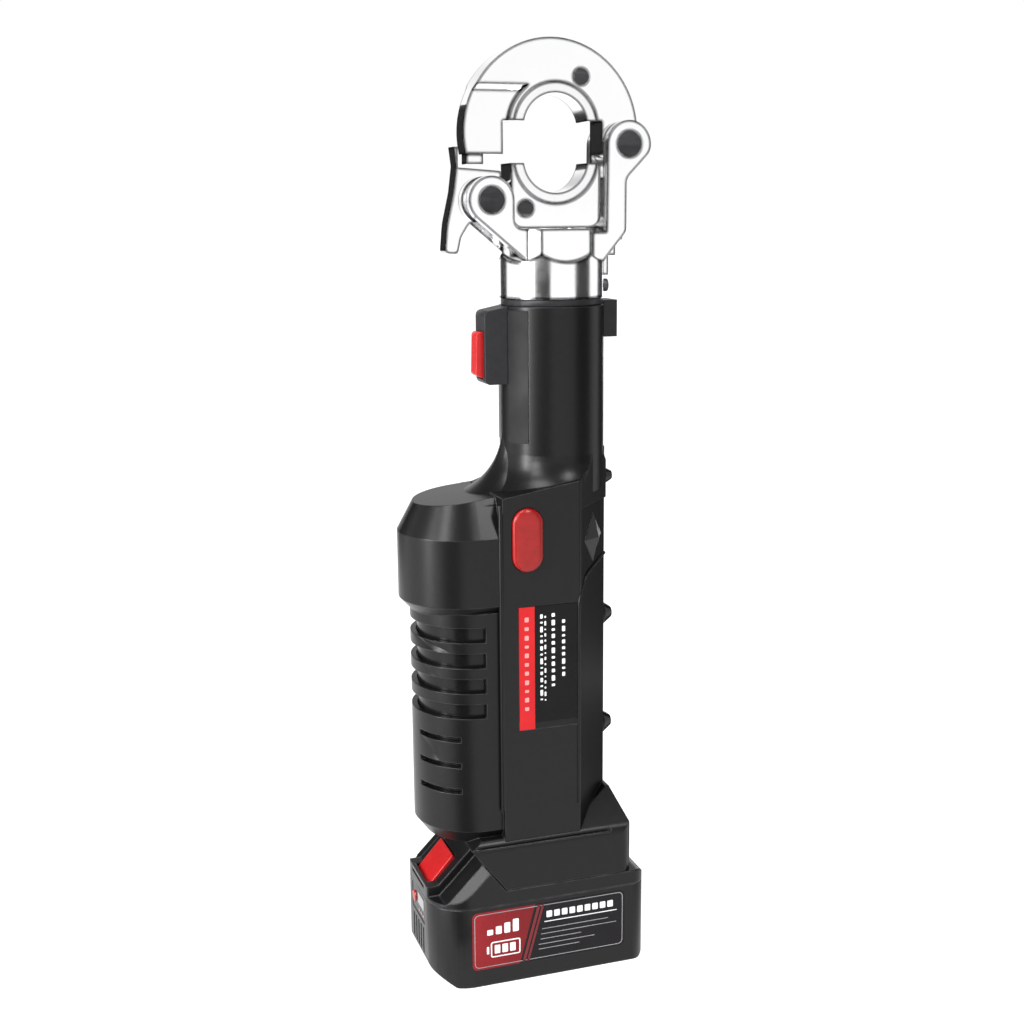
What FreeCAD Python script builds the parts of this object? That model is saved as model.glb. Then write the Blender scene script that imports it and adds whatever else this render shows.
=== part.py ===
import FreeCAD, Part

import math
import os
import re
from types import SimpleNamespace

# Cordless hydraulic crimping tool with a flip-top head, in millimetres.
# +Z runs up the cylinder axis, the head is at the top and the battery at the bottom.
# -Y is the front, with the label. -X is the side with the trigger and the motor housing.
# The origin is on the cylinder axis, in the plane of the battery's underside.

doc = FreeCAD.newDocument("crimping_tool")

SIZES = {
    # Battery pack
    "pack_left": -80,
    "pack_right": 42,
    "pack_half_depth": 37.5,
    "pack_nose_round": 22,
    "pack_tail_round": 8,
    "case_seam": 46,
    "pack_top": 54,
    "nose_foot": 47.6,
    "nose_top": 74,
    "cell_radius": 9.1,
    "cell_length": 65,
    "neck_half": 22,
    "lip_half": 26,
    "lip_low": 60,
    "lip_top": 66,
    # Foot that holds the pack
    "foot_right": 34,
    "foot_top": 79,
    "foot_left_low": -40,
    "foot_left_top": -59,
    "slide_gap": 0.4,
    # Main housing
    "wall": 3,
    "panel_left": -40,
    "panel_right": 3,
    "panel_half_depth": 36,
    "side_right": 27,
    "side_half_depth": 10,
    "housing_low": 82,
    "panel_top_left": 270,
    "panel_top_right": 277,
    "shoulder_x": -51,
    "shoulder_radius": 35,
    "shoulder_low": 206,
    "shoulder_bend": 249,
    "shoulder_top": 264,
    "cover_x": -47,
    "cover_radius": 33,
    "cover_low": 80,
    "cover_taper": 8,
    "slot_first": 155.8,
    "slot_pitch": 13.9,
    "slot_height": 8,
    "slot_end": -48.6,
    "thin_slot_first": 111,
    "thin_slot_pitch": 14.5,
    "thin_slot_height": 3,
    "thin_slot_end": -62,
    # Grip
    "grip_radius": 28,
    "grip_low": 293,
    "grip_top": 366,
    "flare_radius": 46,
    "flare_low": 268,
    # Hydraulics
    "barrel_radius": 23,
    "barrel_low": 262,
    "bore_radius": 16,
    "rod_radius": 12,
    "running_gap": 0.05,
    "motor_x": -48,
    "motor_radius": 19,
    "motor_low": 98,
    "motor_top": 158,
    "eccentric": 2,
    # Head
    "collar_radius": 27.5,
    "collar_low": 370,
    "flat_half": 23,
    "flat_low": 388.6,
    "flat_cutter": 24.6,
    "neck_top": 405.4,
    "ear_outer": 15,
    "ear_inner": 8.8,
    "ear_radius": 12,
    "pin_radius": 6.6,
    "latch_x": -37,
    "latch_z": 420,
    "hinge_x": 38,
    "hinge_z": 448,
    "arm_inner": 25.5,
    "arm_outer": 36.5,
    "arm_web_top": 431,
    # Jaw and dies
    "jaw_half": 8.5,
    "jaw_x": -2,
    "jaw_z": 453.5,
    "jaw_radius": 47,
    "jaw_low": 443,
    "lobe_half": 6,
    "throat_left": -28,
    "throat_right": 25.2,
    "die_outer": 22.8,
    "die_inner": 17.5,
    "die_half": 8,
    "die_pocket_gap": 0.05,
    "upper_die_z": 456,
    "upper_joint": 459.5,
    "lower_die_z": 441,
    "lower_joint": 438.5,
    "holder_half": 24.5,
    "holder_low": 405.7,
    "latch_half": 5,
    "catch_radius": 4,
    # Controls
    "switch_face": -39.5,
    "switch_half": 8,
    "switch_low": 325.5,
    "trigger_face": -43.5,
    "trigger_half": 4.6,
    "trigger_low": 328.5,
    "trigger_top": 353,
    "button_x": -26.5,
    "button_z": 247.5,
    "button_half_width": 8.2,
    "button_half_height": 16.8,
}

sheet = doc.addObject("Spreadsheet::Sheet", "Sizes")
for row, (alias, number) in enumerate(SIZES.items(), start=1):
    sheet.set(f"A{row}", alias)
    sheet.set(f"B{row}", str(number))
    sheet.setAlias(f"B{row}", alias)
doc.recompute()
size = SimpleNamespace(**{alias: float(sheet.get(alias)) for alias in SIZES})

X_AXIS = FreeCAD.Vector(1, 0, 0)
Y_AXIS = FreeCAD.Vector(0, 1, 0)
Z_AXIS = FreeCAD.Vector(0, 0, 1)
TURNS = {
    "x": FreeCAD.Rotation(Y_AXIS, 90),
    "y": FreeCAD.Rotation(X_AXIS, -90),
    "z": FreeCAD.Rotation(),
}
# How a sketch lies in each plane, with its own normal along +Z, -Y or +X.
PLANES = {
    "plan": FreeCAD.Rotation(),
    "front": FreeCAD.Rotation(X_AXIS, 90),
    "side": FreeCAD.Rotation(FreeCAD.Vector(1, 1, 1), 120),
}
NODES = []


# ---- Building helpers ----

def bind(item, formulas):
    """Binds properties to formulas that are sums of sheet names and numbers."""
    for path, formula in formulas.items():
        item.setExpression(path, re.sub(r"[a-z][a-z_]+", r"Sizes.\g<0>", str(formula)))
    return item


def add(kind, name):
    return doc.addObject(kind, name)


def box(x, y, z):
    """A block from the low to the high formula along each axis."""
    formulas = {}
    for axis, length, (low, high) in zip("xyz", ("Length", "Width", "Height"), (x, y, z)):
        formulas[length] = f"({high}) - ({low})"
        formulas["Placement.Base." + axis] = low
    return bind(add("Part::Box", "Block"), formulas)


def place(item, axis, centre, low):
    """Lays an item that is made along +Z on an axis, at a centre across it, from low."""
    item.Placement = FreeCAD.Placement(FreeCAD.Vector(), TURNS[axis])
    across = [name for name in "xyz" if name != axis]
    formulas = {"Placement.Base." + axis: low}
    for name, formula in zip(across, centre):
        formulas["Placement.Base." + name] = formula
    return bind(item, formulas)


def rod(axis, centre, radius, low, high):
    """A cylinder along an axis; centre is its place on the other two axes."""
    item = add("Part::Cylinder", "Rod")
    bind(item, {"Radius": radius, "Height": f"({high}) - ({low})"})
    return place(item, axis, centre, low)


def cone(axis, centre, radius_low, radius_high, low, high):
    item = add("Part::Cone", "Cone")
    bind(item, {"Radius1": radius_low, "Radius2": radius_high, "Height": f"({high}) - ({low})"})
    return place(item, axis, centre, low)


def ring(axis, centre, radius, thickness, level):
    """A torus round an axis, with the given mean radius and wire radius."""
    item = bind(add("Part::Torus", "Ring"), {"Radius1": radius, "Radius2": thickness})
    return place(item, axis, centre, level)


def tube(axis, centre, outer, inner, low, high):
    return cut(rod(axis, centre, outer, low, high), rod(axis, centre, inner, f"{low} - 1", f"{high} + 1"))


def outline(corners):
    """Lines and arcs of a closed outline; a corner is (across, up) or (across, up, radius)."""
    points = [FreeCAD.Vector(corner[0], corner[1], 0) for corner in corners]
    entries, exits, arcs = [], [], []
    for place_in_list, corner in enumerate(corners):
        point = points[place_in_list]
        back = (points[place_in_list - 1] - point).normalize()
        ahead = (points[(place_in_list + 1) % len(points)] - point).normalize()
        radius = corner[2] if len(corner) > 2 else 0
        if not radius:
            entries.append(point)
            exits.append(point)
            continue
        half = back.getAngle(ahead) / 2
        entry = point + back * (radius / math.tan(half))
        leave = point + ahead * (radius / math.tan(half))
        centre = point + (back + ahead).normalize() * (radius / math.sin(half))
        middle = centre + (point - centre).normalize() * radius
        arcs.append(Part.Arc(entry, middle, leave))
        entries.append(entry)
        exits.append(leave)
    lines = []
    for start, end in zip(exits, entries[1:] + entries[:1]):
        if start.distanceToPoint(end) > 1e-6:
            lines.append(Part.LineSegment(start, end))
    return lines + arcs


def sketch(plane, geometry, level=0):
    """A sketch in a plane; level moves it along the world axis across that plane."""
    item = add("Sketcher::SketchObject", "Outline")
    item.addGeometry(geometry, False)
    item.Placement = FreeCAD.Placement(FreeCAD.Vector(), PLANES[plane])
    across = {"plan": "z", "front": "y", "side": "x"}[plane]
    return bind(item, {"Placement.Base." + across: level})


def extrude(profile, length):
    item = add("Part::Extrusion", "Prism")
    item.Base = profile
    item.DirMode = "Normal"
    item.Solid = True
    return bind(item, {"LengthFwd": length})


def plan_prism(corners, low, high):
    """An outline in X and Y, from low to high along Z."""
    return extrude(sketch("plan", outline(corners), low), f"({high}) - ({low})")


def front_prism(corners, front, back):
    """An outline in X and Z, from front to back along Y."""
    return extrude(sketch("front", outline(corners), back), f"({back}) - ({front})")


def side_prism(corners, low, high):
    """An outline in Y and Z, from low to high along X."""
    return extrude(sketch("side", outline(corners), low), f"({high}) - ({low})")


def revolve(geometry, x=0, y=0):
    """Geometry in X and Z turned round a vertical axis at x, y."""
    item = add("Part::Revolution", "Turned")
    item.Source = sketch("front", geometry)
    item.Axis = Z_AXIS
    item.Base = FreeCAD.Vector(x, y, 0)
    item.Angle = 360
    item.Solid = True
    return item


def fuse(*items):
    item = add("Part::MultiFuse", "Joined")
    item.Shapes = list(items)
    return item


def common(*items):
    item = add("Part::MultiCommon", "Shared")
    item.Shapes = list(items)
    return item


def cut(base, *tools):
    item = add("Part::Cut", "Trimmed")
    item.Base = base
    item.Tool = tools[0] if len(tools) == 1 else fuse(*tools)
    return item


def group(items):
    """Separate solids that share one node."""
    item = add("Part::Compound", "Set")
    item.Links = list(items)
    return item


def turned(item, axis, angle, centre=(0, 0, 0)):
    """Turns a finished item about an axis through a centre."""
    wrapper = group([item])
    wrapper.Placement = FreeCAD.Placement(
        FreeCAD.Vector(), FreeCAD.Rotation(axis, angle), FreeCAD.Vector(*centre)
    )
    return wrapper


def node(label, item):
    item.Label = label
    NODES.append(item)
    return item


def mirrored_depth(corners):
    """Adds the back half to a plan outline that is given from left to right along its front."""
    return corners + [(corner[0], -corner[1], *corner[2:]) for corner in reversed(corners)]


# ---- Housing ----

def housing_solid(inset):
    """The whole outer form of the housing, or with an inset the cavity inside its wall."""
    depth = size.panel_half_depth - inset
    block_plan = mirrored_depth([
        (size.panel_left + inset, -depth),
        (size.panel_right - inset / 2, -depth, 2),
        (size.side_right - inset, inset / 2 - size.side_half_depth, 3),
    ])
    block_rise = [
        (size.panel_left + inset, size.housing_low + inset),
        (size.side_right, size.housing_low + inset),
        (size.side_right, size.grip_low - inset - 3),
        (size.panel_right, size.panel_top_right - inset),
        (size.panel_left + inset, size.panel_top_left - inset),
    ]
    block = common(
        plan_prism(block_plan, "housing_low", "grip_low"),
        front_prism(block_rise, "-panel_half_depth", "panel_half_depth"),
    )
    lean = FreeCAD.Vector(-0.45, 0.55, 0.7).normalize()
    corner_start = FreeCAD.Vector(size.panel_left, 22, size.panel_top_left - 2)
    block = cut(block, beyond_plane(corner_start - lean * inset, lean))
    cover_round = size.cover_radius - inset
    cover_bend = size.cover_low + size.cover_taper + inset
    cover_foot = tapered(size.cover_x, cover_round - 6, cover_round, size.cover_low + inset, cover_bend)
    cover = plan_prism(
        round_ended(size.cover_x, cover_round, size.panel_left + 8),
        cover_bend, f"shoulder_low + {inset + 3}",
    )
    shoulder_round = size.shoulder_radius - inset
    shoulder_low = size.shoulder_low + inset
    shoulder_foot = tapered(
        size.shoulder_x, shoulder_round - 6.5, shoulder_round, shoulder_low, shoulder_low + 7
    )
    shoulder = plan_prism(
        round_ended(size.shoulder_x, shoulder_round, size.panel_left + 8),
        shoulder_low + 7, f"shoulder_bend - {inset / 2}",
    )
    crown = crown_solid(inset)
    flare = common(flare_solid(inset), plan_prism(whole_plan(inset), "flare_low - 6", "grip_low + 2"))
    grip = rod("z", (0, 0), f"grip_radius - {inset}", "flare_low", f"grip_top + {inset}")
    return fuse(block, cover_foot, cover, shoulder_foot, shoulder, crown, flare, grip)


def round_ended(centre_x, radius, end_x):
    """A plan outline: a half circle on the -X side and straight sides to end_x."""
    return [
        (end_x, -radius),
        (centre_x - radius, -radius, radius),
        (centre_x - radius, radius, radius),
        (end_x, radius),
    ]


def beyond_plane(point, normal):
    """A thick slab on the far side of a plane through a point."""
    slab = group([box((-40, 40), (-40, 40), (0, 30))])
    slab.Placement = FreeCAD.Placement(point, FreeCAD.Rotation(Z_AXIS, normal))
    return slab


def tapered(centre_x, radius_low, radius_high, low, high):
    """A piece with a rounded -X end whose half depth changes evenly from low to high."""
    round_end = cone("z", (centre_x, 0), radius_low, radius_high, low, high)
    straight = side_prism(
        [(-radius_low, low), (radius_low, low), (radius_high, high), (-radius_high, high)],
        centre_x, "panel_left + 8",
    )
    return fuse(round_end, straight)


def crown_solid(inset):
    """The tapered top of the motor housing, cut off by a slope that climbs to the grip."""
    radius = size.shoulder_radius - inset
    taper = 8
    low = size.shoulder_bend - inset / 2
    high = size.panel_top_left + 3
    drop = taper * (high - low) / (size.shoulder_top - size.shoulder_bend)
    slope = front_prism(
        [
            (size.shoulder_x - size.shoulder_radius, low),
            (size.panel_left + 8, low),
            (size.panel_left + 8, size.panel_top_left - inset),
            (size.shoulder_x - 27, size.shoulder_top - inset + 0.5, 6),
            (size.shoulder_x - size.shoulder_radius, size.shoulder_top - 3 - inset),
        ],
        "-shoulder_radius", "shoulder_radius",
    )
    return common(tapered(size.shoulder_x, radius, radius - drop, low, high), slope)


def whole_plan(inset):
    """The housing's outline seen from above, shoulder and panel together."""
    radius = size.shoulder_radius - inset - 4
    depth = size.panel_half_depth - inset
    return mirrored_depth([
        (size.shoulder_x - radius + 3, -radius, radius - 3.5),
        (size.panel_left, -radius),
        (size.panel_left, -depth),
        (size.panel_right - inset / 2, -depth, 2),
        (size.side_right + 1 - inset, inset / 2 - size.side_half_depth, 3),
    ])


def flare_solid(inset):
    """The hollow curve that widens the grip down into the shoulders."""
    narrow = size.grip_radius - inset
    wide = size.flare_radius - inset
    low = size.flare_low - inset / 2
    high = size.grip_low - inset / 2
    top = FreeCAD.Vector(narrow, high, 0)
    bend = FreeCAD.Vector(narrow + 0.29 * (wide - narrow), low + 0.32 * (high - low), 0)
    rim = FreeCAD.Vector(wide, low, 0)
    outer_low = FreeCAD.Vector(wide, low - 6, 0)
    inner_low = FreeCAD.Vector(0, low - 6, 0)
    inner_high = FreeCAD.Vector(0, high, 0)
    return revolve([
        Part.Arc(top, bend, rim),
        Part.LineSegment(rim, outer_low),
        Part.LineSegment(outer_low, inner_low),
        Part.LineSegment(inner_low, inner_high),
        Part.LineSegment(inner_high, top),
    ])


def saddle_solid():
    """The hollow curve that carries the grip out over the top of the motor housing."""
    axis_x = -22
    top = FreeCAD.Vector(axis_x + 6, 300, 0)
    bend = FreeCAD.Vector(axis_x + 15, 277, 0)
    rim = FreeCAD.Vector(axis_x + 46, 264.6, 0)
    rim_low = FreeCAD.Vector(axis_x + 46, 260, 0)
    foot = FreeCAD.Vector(axis_x, 260, 0)
    head = FreeCAD.Vector(axis_x, 300, 0)
    curve = revolve([
        Part.Arc(top, bend, rim),
        Part.LineSegment(rim, rim_low),
        Part.LineSegment(rim_low, foot),
        Part.LineSegment(foot, head),
        Part.LineSegment(head, top),
    ], axis_x)
    edge = size.shoulder_radius - 8.5
    return common(curve, plan_prism(
        round_ended(size.shoulder_x, edge, 0), size.shoulder_top - 2, 310
    ))


def foot_solid():
    """The foot under the housing, with its slanted end over the pack's nose."""
    return cut(common(
        plan_prism(
            mirrored_depth([
                (size.foot_left_top, -size.pack_half_depth),
                (size.foot_right, -size.pack_half_depth, 7),
            ]),
            "pack_top", "housing_low + 18",
        ),
        front_prism(
            [
                (size.foot_left_low, size.pack_top + size.slide_gap),
                (size.foot_right, size.pack_top + size.slide_gap),
                (size.foot_right, size.foot_top, 4),
                (size.side_right, size.housing_low + 16),
                (size.side_right - 2, size.housing_low + 16),
                (size.panel_right - 5, size.foot_top + 4),
                (size.foot_left_top + 6, size.foot_top + 4),
                (size.foot_left_top, size.foot_top),
            ],
            "-pack_half_depth", "pack_half_depth",
        ),
        side_prism(
            [
                (-size.pack_half_depth, size.pack_top),
                (size.pack_half_depth, size.pack_top),
                (size.pack_half_depth, size.foot_top + 1, 8),
                (16, size.housing_low + 18),
                (-16, size.housing_low + 18),
                (-size.pack_half_depth, size.foot_top + 1, 8),
            ],
            "foot_left_top", "foot_right",
        ),
    ), rim_ledge(-1), rim_ledge(1))


def rim_ledge(side):
    """The ledge between the foot's rim and the housing, on one side of the tool."""
    near = size.panel_half_depth
    far = size.pack_half_depth + 1
    low, high = sorted((side * near, side * far))
    return box(
        ("foot_left_top - 1", "side_right - 6"), (low, high), ("foot_top", "housing_low + 19")
    )


def pack_channel():
    """The T-shaped channel in the foot that the pack's rails run in."""
    return fuse(
        box(("foot_left_top - 5", "foot_right - 3"), ("-neck_half - slide_gap", "neck_half + slide_gap"),
            ("pack_top - 1", "lip_low + 1")),
        box(("foot_left_top - 5", "foot_right - 3"), ("-lip_half - slide_gap", "lip_half + slide_gap"),
            ("lip_low - slide_gap", "foot_top - 3")),
    )


def vent_slots():
    """Slots round the motor cover: wide ones above and thin ones below."""
    cutters = []
    for index in range(4):
        middle = f"slot_first + {index} * slot_pitch"
        cutters.append(box(
            ("cover_x - cover_radius - 5", "slot_end"), ("-cover_radius - 5", "cover_radius + 5"),
            (f"{middle} - slot_height / 2", f"{middle} + slot_height / 2"),
        ))
    for index in range(3):
        middle = f"thin_slot_first + {index} * thin_slot_pitch"
        for side in (-1, 1):
            low, high = sorted((side * 8, side * (size.cover_radius + 5)))
            cutters.append(box(
                ("cover_x - cover_radius - 5", "thin_slot_end"), (low, high),
                (f"{middle} - thin_slot_height / 2", f"{middle} + thin_slot_height / 2"),
            ))
    return cutters


def oval(half_width, half_height, centre_x, centre_z, front, back):
    """A round-ended button standing up along Z, from front to back along Y."""
    left, right = centre_x - half_width, centre_x + half_width
    low, high = centre_z - half_height, centre_z + half_height
    corners = [(x, z, half_width) for x, z in ((left, low), (right, low), (right, high), (left, high))]
    return front_prism(corners, front, back)


def screw_places():
    """Where the housing's screws stand, in X and Z."""
    return [(-34, 89.5), (-4, 112), (-23.5, 152), (-34, 202)]


def screw_bosses(low, high, radius):
    return [rod("y", (x, z), radius, low, high) for x, z in screw_places()]


def pad_recess(gap, proud=1):
    """Two curved inlays in the grip, on the trigger side."""
    inner = f"grip_radius - 0.8 + {gap}"
    margin = 2 + gap
    shell = tube(
        "z", (0, 0), f"grip_radius + {proud}", inner, f"grip_low + {margin}", f"grip_top - {margin}"
    )
    wedges = []
    for side in (-1, 1):
        corners = [(0, 0)]
        for angle in (72.5 - 2 * gap, 60, 45 + 2 * gap):
            turn = math.radians(angle)
            corners.append((-60 * math.sin(turn), side * 60 * math.cos(turn)))
        wedges.append(plan_prism(corners, "grip_low", "grip_top"))
    return [common(shell, wedge) for wedge in wedges]


def build_housing():
    outside = fuse(housing_solid(0), saddle_solid(), foot_solid())
    hollow = [
        housing_solid(size.wall),
        pack_channel(),
        oval(size.button_half_width + 0.3, size.button_half_height + 0.3, size.button_x, size.button_z,
             "-panel_half_depth - 1", "-panel_half_depth + wall + 1"),
        box(("-31.7", "1.5"), ("-panel_half_depth - 1", "-panel_half_depth + 0.6"), ("143.8", "211.7")),
        rod("x", (0, 340), 2.5, "-grip_radius - 1", "-grip_radius + wall + 1"),
    ]
    trimmed = cut(outside, *hollow, *vent_slots(), *pad_recess(0))
    far = 100
    front_half = box((-far, far), (-far, 0), (0, 4 * far))
    rear_half = box((-far, far), (0, far), (0, 4 * far))
    node("front_shell", common(trimmed, front_half))
    rear = cut(common(trimmed, rear_half), *screw_bosses(34.1, 60, 3.3), *screw_bosses(20, 60, 1.7))
    node("rear_shell", rear)
    posts = common(housing_solid(size.wall + 0.05), fuse(*screw_bosses(-40, 40, 4)))
    node("screw_posts", cut(posts, *screw_bosses(8, 60, 1.55)))
    screws = []
    for x, z in screw_places():
        shank = rod("y", (x, z), 1.5, 10, 34.2)
        head = rod("y", (x, z), 3, 34.2, 35.8)
        socket = rod("y", (x, z), 1.2, 34.8, 37)
        screws.append(cut(fuse(shank, head), socket))
    node("shell_screws", group(screws))
    node("grip_inlays", group(pad_recess(0.05, 0.2)))


def build_covers():
    """Vent liner, labels, bumpers, side cap and the two blocks at the top of the grip."""
    liner = tube("z", ("cover_x", 0), "cover_radius - wall - 0.6", "cover_radius - wall - 1.8", 100, 206)
    keep = box(("-cover_radius * 3", "slot_end + 3"), ("-cover_radius * 2", "cover_radius * 2"), (90, 216))
    node("vent_liner", common(liner, keep))
    plate_back = "-panel_half_depth + 0.6"
    node("label_stripe", box(("-31.5", "-22.8"), ("-panel_half_depth - 0.1", plate_back), (144, 211.5)))
    node("label_plate", box(("-22.7", "1.3"), ("-panel_half_depth - 0.1", plate_back), (147.5, 211.5)))
    bumpers = []
    for level, radius, proud in ((130, 7, 0), (194, 7, 0), (272, 5.6, 1.05)):
        stem = rod("x", (0, level), radius, f"side_right + {proud}", "side_right + 2")
        dome = cone("x", (0, level), radius, radius * 0.45, "side_right + 2", "side_right + 7.5")
        bumpers.append(fuse(stem, dome))
    node("side_bumpers", group(bumpers))
    node("side_cap", side_cap())
    lug = cut(
        box(("grip_radius - 6", "grip_radius + 6.5"), ("-switch_half", "switch_half"), (348.5, 368)),
        rod("z", (0, 0), "grip_radius + 0.02", 340, 380),
        rod("z", ("grip_radius + 3.4", 0), 2.6, 362, 369),
    )
    node("lamp_housing", lug)
    node("lamp_lens", rod("z", ("grip_radius + 3.4", 0), 2.5, 362.2, 367.8))
    node("swivel_ring", tube(
        "z", (0, 0), "grip_radius - 1.3", "barrel_radius + 0.1", "grip_top + 0.1", "collar_low - 0.4"
    ))


def side_cap():
    """A four-sided faceted cap on the sloping right front corner."""
    half_width, half_height, rise = 13, 14.5, 3.5
    corners = [
        FreeCAD.Vector(half_width, 0, 0),
        FreeCAD.Vector(0, half_height, 0),
        FreeCAD.Vector(-half_width, 0, 0),
        FreeCAD.Vector(0, -half_height, 0),
    ]
    peak = FreeCAD.Vector(0, 0, rise)
    faces = [Part.Face(Part.makePolygon(corners + corners[:1]))]
    for start, end in zip(corners, corners[1:] + corners[:1]):
        faces.append(Part.Face(Part.makePolygon([start, end, peak, start])))
    item = add("Part::Feature", "FacetedCap")
    item.Shape = Part.Solid(Part.Shell(faces))
    run = size.side_right - size.panel_right
    rise_back = size.panel_half_depth - size.side_half_depth
    normal = FreeCAD.Vector(rise_back, -run, 0).normalize()
    along = FreeCAD.Vector(run, rise_back, 0).normalize()
    middle = FreeCAD.Vector(size.panel_right + run / 2, -size.panel_half_depth + rise_back / 2, 243.5)
    item.Placement = FreeCAD.Placement(
        middle + normal * 0.02, FreeCAD.Rotation(along, Z_AXIS, normal, "ZXY")
    )
    return item


# ---- Drive and hydraulics inside the housing ----

def build_drive():
    motor = ("motor_x", 0)
    can = cut(
        rod("z", motor, "motor_radius", "motor_low", "motor_top"),
        rod("z", motor, "motor_radius - 2", "motor_low + 3", "motor_top - 3"),
        rod("z", motor, 2.55, "motor_low - 1", "motor_top + 1"),
    )
    node("motor_can", can)
    shaft = rod("z", motor, 2.5, "motor_low - 4", "motor_top + 20")
    core = rod("z", motor, "motor_radius - 6", "motor_low + 10", "motor_top - 10")
    node("motor_rotor", fuse(shaft, core))
    node("cooling_fan", cooling_fan())
    node("sun_gear", gear(motor, 12, 0.9, "motor_top + 20.1", "motor_top + 30"))
    case = tube("z", motor, 20, 18.5, "motor_top + 17", "motor_top + 33")
    floor = tube("z", motor, 19, 3, "motor_top + 17", "motor_top + 18.5")
    node("gear_case", fuse(case, floor))
    planets = []
    pins = []
    for index in range(3):
        turn = math.radians(120 * index + 90)
        centre = (
            f"motor_x + {round(11.4 * math.cos(turn), 4)}", f"{round(11.4 * math.sin(turn), 4)}"
        )
        planets.append(tube("z", centre, 5.6, 2, "motor_top + 21", "motor_top + 29.5"))
        pins.append(rod("z", centre, 1.95, "motor_top + 20.5", "motor_top + 32"))
    node("planet_gears", group(planets))
    plate = rod("z", motor, 17.8, "motor_top + 30.5", "motor_top + 34")
    neck = rod("z", motor, 6, "motor_top + 34", "motor_top + 52")
    crank = rod("z", ("motor_x + eccentric", 0), 7.5, "motor_top + 52", "motor_top + 66")
    tip = rod("z", motor, 4, "motor_top + 66", "motor_top + 74")
    node("eccentric_shaft", fuse(plate, neck, crank, tip, *pins))
    bearing_axis = ("motor_x + eccentric", 0)
    node("crank_bearing", tube("z", bearing_axis, 11, 7.55, "motor_top + 54", "motor_top + 64"))


def cooling_fan():
    """A flat fan with eight blades on the motor shaft."""
    low, high = "motor_top + 4", "motor_top + 12"
    hub = rod("z", ("motor_x", 0), 6, low, high)
    disc = rod("z", ("motor_x", 0), 17, low, "motor_top + 5.2")
    blades = []
    for index in range(8):
        blade = box((5, 16.5), (-0.6, 0.6), (low, high))
        blades.append(turned(blade, Z_AXIS, 45 * index))
    moved = group(blades)
    bind(moved, {"Placement.Base.x": "motor_x"})
    return cut(fuse(hub, disc, moved), rod("z", ("motor_x", 0), 2.55, "motor_top", "motor_top + 20"))


def gear(centre, teeth, depth, low, high):
    """A small spur gear as a drum with straight teeth."""
    radius = 5.2
    drum = rod("z", centre, radius - depth, low, high)
    wedges = []
    for index in range(teeth):
        blade = box((3.5, radius), (-0.5, 0.5), (low, high))
        wedges.append(turned(blade, Z_AXIS, 360 * index / teeth))
    moved = group(wedges)
    bind(moved, {"Placement.Base.x": centre[0]})
    return fuse(drum, moved)


def build_hydraulics():
    block = cut(
        box((-28, 12), (-21, 21), (196, "barrel_low")),
        rod("x", (0, "motor_top + 59"), 4.05, -30, 6),
        rod("z", (0, 0), 5, 230, "barrel_low + 1"),
        rod("y", (1, 246), 4.05, -22, -6),
    )
    node("pump_block", block)
    node("pump_piston", rod("x", (0, "motor_top + 59"), 4, "motor_x + eccentric + 11.1", -6))
    wires = [ring("x", (0, "motor_top + 59"), 5.6, 0.6, level) for level in (-34, -32, -30)]
    node("pump_spring", group(wires))
    node("relief_valve", fuse(
        rod("y", (1, 246), 4, -20, -7),
        rod("y", (1, 246), 6, -24, "-21.05"),
        rod("y", (1, 246), 2.6, -22, -19),
    ))
    node("oil_bladder", rod("z", (0, 0), 17, 128, 194))
    barrel = cut(
        rod("z", (0, 0), "barrel_radius", "barrel_low + 0.1", "collar_low - 0.3"),
        rod("z", (0, 0), "bore_radius", "barrel_low + 8", "collar_low - 12"),
        rod("z", (0, 0), "rod_radius + running_gap", "collar_low - 20", "collar_low + 1"),
        rod("z", (0, 0), 4, "barrel_low - 1", "barrel_low + 10"),
    )
    node("hydraulic_barrel", barrel)
    piston = fuse(
        rod("z", (0, 0), "bore_radius - running_gap", "barrel_low + 12", "barrel_low + 28"),
        rod("z", (0, 0), "rod_radius", "barrel_low + 20", "holder_low"),
    )
    groove = tube("z", (0, 0), "bore_radius + 1", "bore_radius - 2.5", "barrel_low + 18", "barrel_low + 22")
    node("ram_piston", cut(piston, groove))
    node("piston_seal", tube("z", (0, 0), "bore_radius - running_gap", "bore_radius - 2.45",
                             "barrel_low + 18.1", "barrel_low + 21.9"))
    coils = 14
    pitch = 4.1
    turns = [
        ring("z", (0, 0), 14, 1.2, f"barrel_low + {30 + pitch * index}") for index in range(coils)
    ]
    node("return_spring", group(turns))


def build_electronics():
    node("control_board", box((-34, 4), (-24, 24), (95.6, 97.2)))
    parts = [
        box((-26, -18), (-18, -6), (97.3, 103)),
        rod("z", (-13, -14), 4, 97.3, 106),
        box((-26, -16), (4, 14), (97.3, 100)),
        box((-12, -2), (2, 18), (97.3, 100)),
    ]
    node("board_components", group(parts))
    block = box((4, 28), (-14, 14), (70, "foot_top - 3.05"))
    node("terminal_block", block)
    blades = [box((6, 27), (y - 0.5, y + 0.5), (62.5, 69.95)) for y in (-12, -4, 4, 12)]
    node("terminal_blades", group(blades))


# ---- Controls ----

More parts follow.
